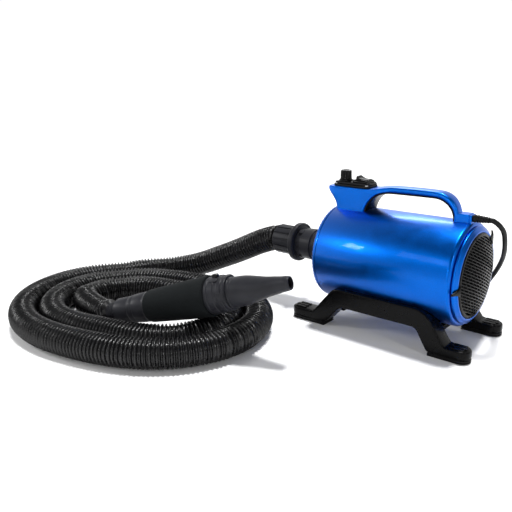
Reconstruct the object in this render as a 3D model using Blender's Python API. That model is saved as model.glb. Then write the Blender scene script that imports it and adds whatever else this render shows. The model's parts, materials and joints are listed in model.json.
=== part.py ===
"""Pet dryer: a drum-shaped blower on skid rails, its corrugated hose, hand wand and mains lead.

X runs along the drum, from the hose outlet (-X) to the air intake (+X); Z is up and the floor is
z = 0. Everything is laid out from the point on the floor under the middle of the drum, DRYER,
which stands off the frame's origin so that the origin is the middle of the blower and its wand.
"""
import bpy
import bmesh
from math import cos, pi, radians, sin, sqrt
from mathutils import Matrix, Vector
from mathutils.geometry import interpolate_bezier

# ---- driving dimensions, in metres ----
DRYER = Vector((0.1171, 0.1287, 0.0))   # floor point under the drum, in the frame
AXIS_Z = 0.118                          # height of the drum's axis
DRUM_R = 0.085
REAR_X = -0.1310                        # flat face of the rear cover
REAR_SHOULDER = 0.0100
FRONT_X = 0.1215                        # end of the drum's front shoulder
DRUM_WALL = 0.0016
DRUM_SIDES = 48                         # flats round the drum's turned shells
GAP = 0.0003                            # between pieces that touch
RIM_FRONT_X = 0.1305                    # front face of the bezel
GRILLE_R = 0.0690

TRACK = 0.0663                          # middle of a rail from the drum's mid-plane
RAIL_W = 0.0316
RAIL_TAIL_X = -0.176                    # rounded foot tips, outlet side and intake side
RAIL_NOSE_X = 0.157
PAD_H = 0.006

HANDLE_TOP_Z = 0.2465
PANEL_Z = 0.2390                        # flat top of the control pedestal
PLATE_T = 0.0080                        # control plate
PEDESTAL_W = 0.046
BAR_W = 0.027
BOSS_X = 0.1180                         # end face of the cord boss on the handle's foot
CORD_Z = 0.2095
KNOB_X = -0.1145
ROCKER_X = -0.0790
ROCKER_TILT = radians(13)

PORT_R = 0.028
PORT_BORE = 0.0215
FLANGE_X = -0.2090
SLEEVE_END_X = -0.2640
HOSE_D = 0.0500
LEAD_D = 0.0078

WAND_START = Vector((-0.3857, -0.3262, 0.0312))
WAND_TIP = Vector((-0.0614, -0.2307, 0.1293))

# hose coil: an oval spiral, one pitch closer in for each turn
COIL_MID = Vector((-0.3657, -0.2643))
COIL_R = 0.2299
COIL_OVAL = 0.13
COIL_LONG_AXIS = radians(10)
COIL_PITCH = 0.0540

LEAD_COIL_MID = Vector((-0.0800, 0.1750))
LEAD_COIL_R = 0.0450
LEAD_COIL_SECTION = 0.0234

# ---- colours, roughness and metal of each material ----
MATERIALS = {
    "blue_paint": ((0.010, 0.130, 0.620), 0.25, 0.6),
    "black_plastic": ((0.018, 0.018, 0.020), 0.45, 0.0),
    "gloss_black": ((0.012, 0.012, 0.013), 0.20, 0.0),
    "grey_plastic": ((0.050, 0.052, 0.058), 0.50, 0.0),
    "hose_plastic": ((0.020, 0.020, 0.022), 0.45, 0.0),
    "rubber": ((0.020, 0.020, 0.020), 0.80, 0.0),
    "foam": ((0.040, 0.040, 0.042), 0.95, 0.0),
    "steel": ((0.550, 0.560, 0.580), 0.35, 1.0),
    "aluminium": ((0.750, 0.760, 0.780), 0.35, 1.0),
    "copper": ((0.720, 0.330, 0.160), 0.35, 1.0),
    "carbon": ((0.060, 0.060, 0.065), 0.70, 0.0),
    "board": ((0.030, 0.180, 0.070), 0.50, 0.0),
    "brass": ((0.700, 0.520, 0.220), 0.30, 1.0),
}


# ---- helpers ----
def clear_scene():
    for old in list(bpy.data.objects):
        bpy.data.objects.remove(old, do_unlink=True)


def material(name):
    made = bpy.data.materials.get("mat_" + name)
    if made is None:
        colour, rough, metal = MATERIALS[name]
        made = bpy.data.materials.new("mat_" + name)
        made.use_nodes = True
        shader = made.node_tree.nodes["Principled BSDF"]
        shader.inputs["Base Color"].default_value = (*colour, 1.0)
        shader.inputs["Roughness"].default_value = rough
        shader.inputs["Metallic"].default_value = metal
        made.diffuse_color = (*colour, 1.0)
    return made


def new_object(name, mesh, place, mat, parent=None):
    obj = bpy.data.objects.new(name, mesh)
    bpy.context.scene.collection.objects.link(obj)
    obj.location = place
    obj.parent = parent or DRYER_FRAME
    if mat:
        obj.data.materials.append(material(mat))
    return obj


def mesh_from(name, bm, smooth_angle=35):
    bmesh.ops.recalc_face_normals(bm, faces=bm.faces)
    mesh = bpy.data.meshes.new(name)
    bm.to_mesh(mesh)
    bm.free()
    if smooth_angle:
        mesh.shade_smooth()
        mesh.set_sharp_from_angle(angle=radians(smooth_angle))
    return mesh


AXES = {"X": Vector((1, 0, 0)), "Y": Vector((0, 1, 0)), "Z": Vector((0, 0, 1))}
SIDEWAYS = {"X": Vector((0, 0, 1)), "Y": Vector((1, 0, 0)), "Z": Vector((1, 0, 0))}


def turned(name, profile, place, mat, axis="X", sides=40, parent=None):
    """Turn (along, radius) points about an axis. Points that start and end on the axis make a
    solid; a profile clear of the axis is closed and makes a ring."""
    along, side = AXES[axis], SIDEWAYS[axis]
    bm = bmesh.new()
    verts = [bm.verts.new(along * a + side * r) for a, r in profile]
    edges = [bm.edges.new(pair) for pair in zip(verts, verts[1:])]
    if profile[0][1] > 0:
        edges.append(bm.edges.new((verts[-1], verts[0])))
    bmesh.ops.spin(bm, geom=verts + edges, cent=(0, 0, 0), axis=along, angle=2 * pi, steps=sides,
                   use_merge=True)
    bmesh.ops.remove_doubles(bm, verts=bm.verts, dist=1e-6)
    return new_object(name, mesh_from(name, bm), place, mat, parent)


def tube_profile(start, end, outer, inner):
    return [(start, inner), (start, outer), (end, outer), (end, inner)]


def rod_profile(*stations):
    """Closed turned solid from (along, radius) stations, capped on the axis at both ends."""
    return [(stations[0][0], 0.0), *stations, (stations[-1][0], 0.0)]


def bevelled(obj, width, segments=2, angle=30):
    mod = obj.modifiers.new("edges", "BEVEL")
    mod.width = width
    mod.segments = segments
    mod.limit_method = "ANGLE"
    mod.angle_limit = radians(angle)
    return obj


def block(name, size, place, mat, bevel=0.0, parent=None):
    bm = bmesh.new()
    bmesh.ops.create_cube(bm, size=1.0)
    bmesh.ops.scale(bm, verts=bm.verts, vec=size)
    obj = new_object(name, mesh_from(name, bm), place, mat, parent)
    return bevelled(obj, bevel) if bevel else obj


def plate(name, outline, start, end, mat, axis="Y", place=(0, 0, 0), parent=None):
    """Extrude an outline along Y, its points being (x, z), or along Z, its points (x, y),
    or along X, its points (y, z)."""
    lay = {"Y": lambda p: Vector((p[0], start, p[1])), "Z": lambda p: Vector((p[0], p[1], start)),
           "X": lambda p: Vector((start, p[0], p[1]))}[axis]
    bm = bmesh.new()
    face = bm.faces.new([bm.verts.new(lay(p)) for p in outline])
    grown = bmesh.ops.extrude_face_region(bm, geom=[face])
    moved = [v for v in grown["geom"] if isinstance(v, bmesh.types.BMVert)]
    bmesh.ops.translate(bm, verts=moved, vec=AXES[axis] * (end - start))
    return new_object(name, mesh_from(name, bm), place, mat, parent)


def arc(mid, radius, start, end, steps, squash=1.0):
    turn = (end - start) / steps
    return [(mid[0] + radius * cos(radians(start + i * turn)),
             mid[1] + radius * squash * sin(radians(start + i * turn))) for i in range(steps + 1)]


def boolean(obj, tool, how="DIFFERENCE"):
    tool.hide_render = True
    tool.display_type = "WIRE"
    mod = obj.modifiers.new(how.lower(), "BOOLEAN")
    mod.operation = how
    mod.solver = "EXACT"
    mod.object = tool
    return obj


def drum_cutter(radius, start=-0.16, end=0.16):
    return turned("cut_drum", rod_profile((start, radius), (end, radius)), (0, 0, AXIS_Z), None,
                  sides=DRUM_SIDES)


def smooth_route(points, spacing):
    """Even points, one per spacing, along a smooth curve through the given ones. The first and
    the last stretch stay straight, so that the cord's ends are square to them."""
    first, *middle, last = [Vector(p) for p in points]
    return [first, *even_curve(middle, first, last, spacing), last]


def even_curve(pts, before_first, after_last, spacing):
    ends = [before_first, *pts, after_last]
    fine = []
    for before, a, b, after in zip(ends, ends[1:], ends[2:], ends[3:]):
        reach = (b - a).length / 3
        out = (b - before).normalized() * reach
        back = (after - a).normalized() * reach
        fine += interpolate_bezier(a, a + out, b - back, b, 17)[:-1]
    fine.append(pts[-1])
    total = sum((b - a).length for a, b in zip(fine, fine[1:]))
    step = total / round(total / spacing)
    even, walked, target = [fine[0]], 0.0, step
    for a, b in zip(fine, fine[1:]):
        length = (b - a).length
        while walked + length >= target and target < total - step / 2:
            even.append(a.lerp(b, (target - walked) / length))
            target += step
        walked += length
    return even + [fine[-1]]


def cord(name, points, diameter, mat, resolution):
    curve = bpy.data.curves.new(name, "CURVE")
    curve.dimensions = "3D"
    curve.bevel_depth = diameter / 2
    curve.bevel_resolution = resolution
    curve.use_fill_caps = True
    spline = curve.splines.new("POLY")
    spline.points.add(len(points) - 1)
    for spot, p in zip(spline.points, points):
        spot.co = (*p, 1.0)
    return new_object(name, curve, (0, 0, 0), mat)


# ---- drum and its two ends ----
def build_drum():
    centre = (0, 0, AXIS_Z)
    inner = DRUM_R - DRUM_WALL
    joint_x = REAR_X + REAR_SHOULDER
    shoulder = arc((FRONT_X - 0.0070, DRUM_R - 0.0070), 0.0070, 90, 0, 3)
    lip = DRUM_R - 0.0100
    skin = [(joint_x, inner), (joint_x, DRUM_R), *shoulder, (FRONT_X, lip),
            (FRONT_X - 0.0020, lip), (FRONT_X - 0.0060, inner)]
    turned("body_shell", skin, centre, "blue_paint", sides=DRUM_SIDES)
    crown = arc((joint_x - GAP, DRUM_R - REAR_SHOULDER), REAR_SHOULDER, 90, 180, 3)
    hollow = arc((joint_x - GAP, DRUM_R - REAR_SHOULDER), REAR_SHOULDER - DRUM_WALL, 180, 90, 1)
    inside_x = REAR_X - GAP + DRUM_WALL
    end_cap = [*crown, (REAR_X - GAP, PORT_BORE + 0.0020), (inside_x, PORT_BORE + 0.0020),
               *hollow]
    turned("rear_cover", end_cap, centre, "blue_paint", sides=DRUM_SIDES)
    back_x = FRONT_X + GAP
    bezel = [(back_x, GRILLE_R + GAP), (back_x, 0.0765), (back_x + 0.0035, 0.0790),
             (back_x + 0.0060, 0.0780), (RIM_FRONT_X, 0.0715), (RIM_FRONT_X, GRILLE_R + GAP)]
    turned("front_rim", bezel, centre, "blue_paint", sides=DRUM_SIDES)


def build_intake():
    """Domed grille with slanted slots and two snap lugs, pulled off along +X with its filter."""
    face = RIM_FRONT_X
    back = face - 0.0080
    dome = [(back, 0.0), (back, GRILLE_R), (face, GRILLE_R), (face + 0.0040, 0.0600),
            (face + 0.0075, 0.0360), (face + 0.0090, 0.0)]
    grille = turned("intake_grille", dome, (0, 0, AXIS_Z), "black_plastic", sides=36)
    hollow = [(back - 0.0020, 0.0), (back - 0.0020, GRILLE_R - 0.0030),
              (face - 0.0010, GRILLE_R - 0.0030), (face + 0.0020, 0.0580),
              (face + 0.0053, 0.0340), (face + 0.0068, 0.0)]
    boolean(grille, turned("cut_grille", hollow, (0, 0, AXIS_Z), None, sides=36))
    slots = [turned_slot(i) for i in range(-5, 6)]
    bpy.context.view_layer.update()
    for slot in slots:
        boolean(grille, slot)
    for angle in (186, 45):
        lug = plate("add_lug", [(-0.0110, 0.0655), (0.0110, 0.0655), (0.0020, 0.0862),
                                (-0.0020, 0.0862)], face + 0.0004, face + 0.0028, None, axis="X",
                    place=(0, 0, AXIS_Z))
        lug.rotation_euler.x = radians(angle - 90)
        boolean(grille, lug, "UNION")
    turned("filter_foam", rod_profile((back - GAP - 0.0060, 0.0640), (back - GAP, 0.0640)),
           (0, 0, AXIS_Z), "foam", sides=28)


def turned_slot(row):
    """One long slanted slot; the rows lean from upper left to lower right."""
    across = 0.0105 * row
    half = sqrt(max(0.0600 ** 2 - across ** 2, 0.0))
    slot = block("cut_slot", (0.0400, 2 * half, 0.0055), (0.1500, 0, AXIS_Z), None)
    slot.rotation_euler.x = radians(-24)
    slot.location.y = across * sin(radians(24))
    slot.location.z = AXIS_Z + across * cos(radians(24))
    return slot


# ---- fan, motor and linings inside the drum ----
def build_fan():
    centre = (0, 0, AXIS_Z)
    can = [(0.0420, 0.0600), (0.0420, 0.0610), (0.0930, 0.0610), (0.0930, 0.0230),
           (0.0918, 0.0230), (0.0918, 0.0600)]
    turned("fan_housing", can, centre, "steel", sides=28)
    turned("front_motor_mount", [(0.0860, 0.0613), (0.0860, 0.0830), (0.0960, 0.0830),
                                 (0.0960, 0.0400), (0.0933, 0.0400), (0.0933, 0.0613)],
           centre, "rubber", sides=28)
    turned("impeller_front", [(0.0760, 0.0043), (0.0760, 0.0560), (0.0772, 0.0560),
                              (0.0790, 0.0520), (0.0905, 0.0200), (0.0905, 0.0043)],
           centre, "aluminium", sides=28)
    turned("diffuser", [(0.0690, 0.0070), (0.0690, 0.0596), (0.0710, 0.0596), (0.0710, 0.0070)],
           centre, "aluminium", sides=28)
    turned("impeller_rear", [(0.0500, 0.0043), (0.0500, 0.0560), (0.0512, 0.0560),
                             (0.0530, 0.0520), (0.0650, 0.0200), (0.0650, 0.0043)],
           centre, "aluminium", sides=28)
    bracket = [(0.0380, 0.0110), (0.0380, 0.0480), (0.0360, 0.0480), (0.0360, 0.0607),
               (0.0417, 0.0607), (0.0417, 0.0085), (0.0395, 0.0085), (0.0395, 0.0110)]
    turned("motor_bracket_front", bracket, centre, "aluminium", sides=28)


def build_motor():
    centre = (0, 0, AXIS_Z)
    turned("stator", tube_profile(-0.0150, 0.0200, 0.0420, 0.0235), centre, "steel", sides=28)
    turned("armature", tube_profile(-0.0150, 0.0200, 0.0225, 0.0043), centre, "copper", sides=28)
    turned("commutator", tube_profile(-0.0380, -0.0230, 0.0120, 0.0043), centre, "copper",
           sides=18)
    turned("shaft", rod_profile((-0.0640, 0.0040), (0.0914, 0.0040)), centre, "steel", sides=18)
    turned("bearing_front", tube_profile(0.0300, 0.0392, 0.0107, 0.0044), centre, "steel",
           sides=18)
    turned("bearing_rear", tube_profile(-0.0620, -0.0550, 0.0080, 0.0044), centre, "steel",
           sides=18)
    cage = [(-0.0640, 0.0083), (-0.0640, 0.0300), (-0.0560, 0.0460), (0.0357, 0.0460),
            (0.0357, 0.0423), (-0.0535, 0.0423), (-0.0600, 0.0290), (-0.0600, 0.0120),
            (-0.0550, 0.0120), (-0.0550, 0.0083)]
    frame = turned("motor_frame", cage, centre, "aluminium", sides=28)
    for turn in (0, 90):
        window = block("cut_window", (0.0300, 0.1200, 0.0300), (-0.0380, 0, AXIS_Z), None)
        window.rotation_euler.x = radians(45 + turn)
        boolean(frame, window)
    for number, side in ((1, 1), (2, -1)):
        holder = block("brush_holder_%d" % number, (0.0120, 0.0100, 0.0240),
                       (-0.0305, 0, AXIS_Z + side * 0.0280), "brass")
        well = block("cut_brush", (0.0076, 0.0056, 0.0400),
                     (-0.0305, 0, AXIS_Z + side * 0.0280), None)
        boolean(holder, well)
        block("carbon_brush_%d" % number, (0.0070, 0.0050, 0.0200),
              (-0.0305, 0, AXIS_Z + side * 0.0226), "carbon")
    turned("rear_motor_mount", tube_profile(-0.0520, -0.0420, 0.0830, 0.0463), centre, "rubber",
           sides=28)
    turned("acoustic_liner", tube_profile(-0.0417, 0.0340, 0.0830, 0.0680), centre, "foam",
           sides=28)


# ---- outlet, collar ----
def build_outlet():
    centre = (0, 0, AXIS_Z)
    face = REAR_X - 2 * GAP
    spigot_end = FLANGE_X - 0.0060
    port = [(spigot_end, PORT_BORE), (spigot_end, 0.0240), (FLANGE_X + GAP, 0.0240),
            (FLANGE_X + GAP, 0.0262), (face - 0.0060, PORT_R + 0.0010), (face, PORT_R + 0.0040),
            (face, PORT_BORE + 0.0017), (face + 0.0060, PORT_BORE + 0.0017),
            (face + 0.0060, PORT_BORE)]
    turned("outlet_port", port, centre, "grey_plastic", sides=32)
    collar = [(FLANGE_X, 0.0244), (FLANGE_X, 0.0350), (FLANGE_X - 0.0020, 0.0370),
              (FLANGE_X - 0.0100, 0.0370), (FLANGE_X - 0.0140, 0.0300),
              (FLANGE_X - 0.0150, 0.0288), (SLEEVE_END_X, 0.0280), (SLEEVE_END_X, PORT_BORE),
              (spigot_end - GAP, PORT_BORE), (spigot_end - GAP, 0.0244)]
    turned("hose_collar", collar, centre, "grey_plastic", sides=32)


# ---- pedestal, handle and controls ----
def loop_outline(grow):
    """Finger opening, grown outwards by a margin: points (x, z) from its rear foot, over the
    top, to its front foot."""
    rear = arc((-0.0220, 0.1930), 0.0410 + grow, 180, 96, 7)
    front = arc((0.0580, 0.2040), 0.0310 + grow, 88, 0, 7)
    return rear + front


def plan_outline(pedestal, bar):
    """Half-widths seen from above: wide under the controls, narrow along the bar."""
    side = [(-0.1500, pedestal * 0.80), (-0.1290, pedestal), (-0.0740, pedestal),
            (-0.0500, pedestal * 0.86), (-0.0190, bar), (0.0780, bar), (0.0960, bar * 0.76),
            (0.1300, bar * 0.76)]
    return side + [(x, -y) for x, y in reversed(side)]


def build_handle():
    lowest = AXIS_Z + 0.040
    outer = [(-0.1200, lowest), (-0.1200, 0.2040), (-0.1230, 0.2130), (-0.1300, 0.2240),
             (-0.1390, 0.2330), (-0.1390, 0.2370), (-0.1360, PANEL_Z), (-0.0550, PANEL_Z),
             (-0.0380, 0.2430), (-0.0180, HANDLE_TOP_Z - 0.0010), (0.0200, HANDLE_TOP_Z)]
    outer += arc((0.0600, 0.2085), HANDLE_TOP_Z - 0.2085, 90, 12, 8)
    outer += [(0.0985, 0.2160), (BOSS_X, 0.2160), (BOSS_X, lowest)]
    opening = loop_outline(0.0022)
    inner = [(opening[-1][0], lowest), *reversed(opening), (opening[0][0], lowest)]
    shell = plate("handle_shell", outer + inner, -0.0400, 0.0400, "blue_paint")
    seen_from_above = plate("cut_plan", plan_outline(PEDESTAL_W / 2, BAR_W / 2), 0.1, 0.3, None,
                            axis="Z")
    boolean(shell, seen_from_above, "INTERSECT")
    boolean(shell, drum_cutter(DRUM_R + GAP))
    boolean(shell, block("cut_pocket", (0.0565, 0.0320, 0.0400), (-0.0903, 0, 0.2320), None))
    boolean(shell, block("cut_knob_end", (0.0160, 0.0320, 0.0400), (-0.1165, 0, 0.2417), None))
    wide = loop_outline(0.0022 - GAP)
    narrow = loop_outline(0.0)
    band = [(wide[0][0], lowest), *wide, (wide[-1][0], lowest),
            (narrow[-1][0], lowest), *reversed(narrow), (narrow[0][0], lowest)]
    liner = plate("handle_liner", band, -0.0400, 0.0400, "black_plastic")
    liner_plan = plate("cut_liner_plan", plan_outline(PEDESTAL_W / 2 - 0.0025,
                                                      BAR_W / 2 - 0.0020), 0.1, 0.3, None,
                       axis="Z")
    boolean(liner, liner_plan, "INTERSECT")
    boolean(liner, drum_cutter(DRUM_R + GAP))


def build_controls():
    top = PANEL_Z + GAP
    base = [(-0.1295, -0.0175), (-0.0640, -0.0188), (-0.0585, -0.0130), (-0.0585, 0.0130),
            (-0.0640, 0.0188), (-0.1295, 0.0175)]
    panel = bevelled(plate("control_panel", base, top, top + PLATE_T, "gloss_black", axis="Z"),
                     0.0016, 1)
    stem_hole = turned("cut_stem", rod_profile((-0.01, 0.0040), (0.02, 0.0040)),
                       (KNOB_X, 0, top), None, axis="Z", sides=20)
    boolean(panel, stem_hole)
    switch_hole = block("cut_switch", (0.0266, 0.0206, 0.0300), (ROCKER_X, 0, top), None)
    boolean(panel, switch_hole)
    foot = PLATE_T + GAP
    knob = [(foot, 0.0), (foot, 0.0120), (foot + 0.0015, 0.0120), (foot + 0.0030, 0.0100),
            (foot + 0.0166, 0.0096), (foot + 0.0180, 0.0084), (foot + 0.0180, 0.0)]
    speed_knob = turned("speed_knob", knob, (KNOB_X, 0, top), "gloss_black", axis="Z", sides=24)
    boolean(speed_knob, turned("cut_shaft", rod_profile((-0.01, 0.0033), (0.0180, 0.0033)),
                               (KNOB_X, 0, top), None, axis="Z", sides=20))
    turned("speed_potentiometer",
           rod_profile((-0.0160, 0.0085), (-GAP, 0.0085), (-GAP, 0.0030), (0.0170, 0.0030)),
           (KNOB_X, 0, top), "steel", axis="Z", sides=20)
    build_switch(top)
    for number, (x, y) in enumerate(((-0.1248, -0.0133), (-0.0636, -0.0154), (-0.1248, 0.0133),
                                     (-0.0636, 0.0154)), start=1):
        turned("panel_screw_%d" % number, rod_profile((foot, 0.0026), (foot + 0.0012, 0.0024)),
               (x, y, top), "steel", axis="Z", sides=12)


def build_switch(top):
    low = top + PLATE_T + GAP
    frame_top = low + 0.0040
    housing = bevelled(block("switch_housing", (0.0300, 0.0240, frame_top - low),
                             (ROCKER_X, 0, (frame_top + low) / 2), "gloss_black"), 0.0010, 1)
    well = block("cut_well", (0.0240, 0.0176, 0.0400), (ROCKER_X, 0, frame_top), None)
    boolean(housing, well)
    half, crest = 0.0112, 0.0062
    pivot = (ROCKER_X, 0, frame_top - 0.0020)
    lever = plate("switch_rocker", [(-half, 0.0010), (-0.0050, -0.0065), (0.0050, -0.0065),
                                    (half, 0.0010), (half - 0.0006, crest),
                                    (0, crest - 0.0022), (-half + 0.0006, crest)],
                  -0.0083, 0.0083, "gloss_black", place=pivot)
    lever.rotation_euler.y = ROCKER_TILT
    block("control_board", (0.0500, 0.0240, 0.0016), (-0.0925, 0, 0.2150), "board")


# ---- mains lead ----
def build_lead():
    relief = rod_profile((0.0, 0.0062), (0.0035, 0.0062), (0.0065, 0.0057), (0.0260, 0.0050))
    turned("strain_relief", relief, (BOSS_X + GAP, 0, CORD_Z), "rubber", sides=20)
    run_y = LEAD_COIL_MID.y - LEAD_COIL_R
    coil_edge = LEAD_COIL_MID.x + 0.0398    # where the lead, at run_y, meets the coil's side
    route = [(BOSS_X + 0.0266, 0, CORD_Z), (BOSS_X + 0.0300, 0, CORD_Z),
             (0.1550, 0.0060, 0.2030), (0.1590, 0.0190, 0.1900), (0.1570, 0.0350, 0.1710),
             (0.1510, 0.0560, 0.1500), (0.1420, 0.0770, 0.1280), (0.1290, 0.0940, 0.1030),
             (0.1100, 0.1080, 0.0720), (0.0880, 0.1170, 0.0380), (0.0620, 0.1230, 0.0140),
             (0.0330, 0.1270, 0.0055), (0.0040, run_y, 0.0041), (coil_edge, run_y, 0.0041)]
    cord("mains_lead", smooth_route(route, 2.6 * LEAD_D), LEAD_D, "rubber", 2)
    half = LEAD_COIL_SECTION / 2
    section = [(0.0003, LEAD_COIL_R - half + 0.002), (0.0003, LEAD_COIL_R + half - 0.002),
               (0.0023, LEAD_COIL_R + half), (LEAD_COIL_SECTION - 0.002, LEAD_COIL_R + half),
               (LEAD_COIL_SECTION, LEAD_COIL_R + half - 0.002),
               (LEAD_COIL_SECTION, LEAD_COIL_R - half + 0.002),
               (LEAD_COIL_SECTION - 0.002, LEAD_COIL_R - half), (0.0023, LEAD_COIL_R - half)]
    turned("mains_coil", section, (*LEAD_COIL_MID, 0), "rubber", axis="Z", sides=32)
    build_plug()


def build_plug():
    """Two-blade plug, lying flat on the coil."""
    low = LEAD_COIL_SECTION + GAP
    place = Vector((LEAD_COIL_MID.x - 0.0100, LEAD_COIL_MID.y + LEAD_COIL_R, low + 0.0090))
    outline = [(-0.0170, -0.0120), (0.0060, -0.0120), (0.0180, -0.0060), (0.0180, 0.0060),
               (0.0060, 0.0120), (-0.0170, 0.0120)]
    bevelled(plate("plug_body", outline, -0.0090, 0.0090, "rubber", axis="Z", place=place),
             0.0020, 2)
    for number, side in ((1, 1), (2, -1)):
        block("plug_blade_%d" % number, (0.0170, 0.0015, 0.0063),
              place + Vector((-0.0170 - GAP - 0.0085, side * 0.00635, 0)), "brass")


# ---- stand ----
def build_stand():
    foot = PAD_H + GAP
    side_view = [(-0.0750, 0.0730), (0.0690, 0.0730), (0.0800, 0.0700), (0.0920, 0.0610),
                 (0.1170, 0.0240), (0.1210, 0.0205), (0.1610, 0.0205), (0.1610, foot),
                 (0.0920, foot), (0.0880, 0.0100), (0.0720, 0.0370), (0.0650, 0.0410),
                 (-0.0670, 0.0410), (-0.0740, 0.0375), (-0.0970, 0.0100), (-0.1010, foot),
                 (-0.1800, foot), (-0.1800, 0.0215), (-0.1300, 0.0215), (-0.1250, 0.0245),
                 (-0.1030, 0.0510), (-0.0860, 0.0700)]
    tip_r = RAIL_W / 2
    above = (arc((RAIL_NOSE_X - tip_r, 0), tip_r, -90, 90, 10)
             + arc((RAIL_TAIL_X + tip_r, 0), tip_r, 90, 270, 10))
    for side, label in ((-1, "front"), (1, "back")):
        mid = side * TRACK
        rail = plate("rail_" + label, side_view, mid - RAIL_W / 2 - 0.001,
                     mid + RAIL_W / 2 + 0.001, "black_plastic")
        stadium = plate("cut_stadium", [(x, mid + y) for x, y in above], 0.0, 0.1, None, axis="Z")
        boolean(rail, stadium, "INTERSECT")
        boolean(rail, drum_cutter(DRUM_R + GAP))
        for end, tip, heel in (("nose", RAIL_NOSE_X, 0.0930), ("tail", RAIL_TAIL_X, -0.1020)):
            way = 1 if end == "nose" else -1
            centre = (tip - way * tip_r, mid)
            if way > 0:
                outline = arc(centre, tip_r, -90, 90, 8) + [(heel, mid + tip_r),
                                                            (heel, mid - tip_r)]
            else:
                outline = arc(centre, tip_r, 90, 270, 8) + [(heel, mid - tip_r),
                                                            (heel, mid + tip_r)]
            plate("foot_pad_%s_%s" % (label, end), outline, 0.0, PAD_H, "rubber", axis="Z")
    reach = TRACK - RAIL_W / 2 - GAP
    for number, (x, z) in enumerate(((-0.0880, 0.0268), (0.0860, 0.0268)), start=1):
        block("cross_brace_%d" % number, (0.0150, 2 * reach, 0.0090), (x, 0, z), "black_plastic",
              bevel=0.0015)


# ---- hose and wand ----
def coil_point(degrees):
    turn = radians(degrees)
    radius = COIL_R * (1 + COIL_OVAL * cos(2 * (turn - COIL_LONG_AXIS)))
    radius -= COIL_PITCH * (turn - pi / 2) / (2 * pi)
    return Vector((COIL_MID.x + radius * cos(turn), COIL_MID.y + radius * sin(turn),
                   HOSE_D / 2 + GAP))


def build_hose():
    drop = [(SLEEVE_END_X - GAP, 0, AXIS_Z), (-0.2720, 0, AXIS_Z), (-0.3150, -0.0020, 0.1020),
            (-0.3640, -0.0090, 0.0780), (-0.4130, -0.0200, 0.0560), (-0.4610, -0.0370, 0.0360),
            (-0.5050, -0.0660, 0.0265), (-0.5410, -0.1070, 0.0254)]
    turns = [coil_point(a) for a in range(150, 926, 12)]
    along = (WAND_TIP - WAND_START).normalized()
    lead_in = [WAND_START - along * 0.0140, WAND_START + along * 0.0010]
    cord("air_hose", smooth_route([*drop, *turns, *lead_in], 0.0500), HOSE_D, "hose_plastic", 2)


def build_wand():
    """Cuff, foam grip, latch collar and nozzle, all on the wand's own axis, its local X."""
    along = WAND_TIP - WAND_START
    length = along.length
    wand = bpy.data.objects.new("wand_axis", None)
    bpy.context.scene.collection.objects.link(wand)
    wand.parent = DRYER_FRAME
    wand.location = WAND_START
    side = Vector((0, 0, 1)).cross(along).normalized()
    up = along.normalized().cross(side)
    wand.rotation_euler = Matrix((along.normalized(), side, up)).transposed().to_euler()
    bpy.context.view_layer.update()
    here = (0, 0, 0)
    cuff = [(0.0013, 0.0150), (0.0013, 0.0172), (0.0225, 0.0178), (0.0229, 0.0226),
            (0.0500, 0.0233), (0.0530, 0.0228), (0.0560, 0.0240), (0.0905, 0.0262),
            (0.0905, 0.0200), (0.0300, 0.0200), (0.0300, 0.0150)]
    turned("hose_cuff", cuff, here, "grey_plastic", sides=28, parent=wand)
    turned("grip_tube", tube_profile(0.0908, 0.2310, 0.0200, 0.0180), here, "grey_plastic",
           sides=28, parent=wand)
    sleeve = [(0.0908, 0.0203), (0.0908, 0.0268), (0.0940, 0.0279), (0.2070, 0.0338),
              (0.2125, 0.0328), (0.2125, 0.0203)]
    turned("grip_sleeve", sleeve, here, "foam", sides=28, parent=wand)
    collar = [(0.2128, 0.0203), (0.2128, 0.0300), (0.2160, 0.0306), (0.2370, 0.0300),
              (0.2500, 0.0286), (0.2504, 0.0281), (0.2504, 0.0250), (0.2313, 0.0250),
              (0.2313, 0.0203)]
    ring = turned("latch_collar", collar, here, "grey_plastic", sides=28, parent=wand)
    latch_x = 0.2284
    boolean(ring, block("cut_latch", (0.0106, 0.0086, 0.0100), (latch_x, 0, 0.0306), None,
                        parent=wand))
    bevelled(block("latch_button", (0.0100, 0.0080, 0.0070), (latch_x, 0, 0.0313), "gloss_black",
                   parent=wand), 0.0010, 1)
    nozzle = [(0.2316, 0.0205), (0.2316, 0.0247), (0.2620, 0.0245), (0.2700, 0.0240),
              (0.2836, 0.0224), (0.3118, 0.0161), (length - 0.0020, 0.0106), (length, 0.0102),
              (length, 0.0086), (0.2810, 0.0198)]
    turned("nozzle", nozzle, here, "grey_plastic", sides=28, parent=wand)


clear_scene()
DRYER_FRAME = bpy.data.objects.new("dryer_frame", None)
bpy.context.scene.collection.objects.link(DRYER_FRAME)
DRYER_FRAME.location = DRYER
build_drum()
build_intake()
build_fan()
build_motor()
build_outlet()
build_handle()
build_controls()
build_lead()
build_stand()
build_hose()
build_wand()
bpy.context.view_layer.update()
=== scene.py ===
"""Pet dryer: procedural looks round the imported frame. Lengths are metres in the frame; most pieces
are laid out from DRYER, the floor point under the middle of the drum, with X along the drum."""
import json
from math import cos, pi, radians, sin, sqrt

import bmesh
import bpy
from mathutils import Matrix, Vector
from mathutils.geometry import interpolate_bezier


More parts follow.
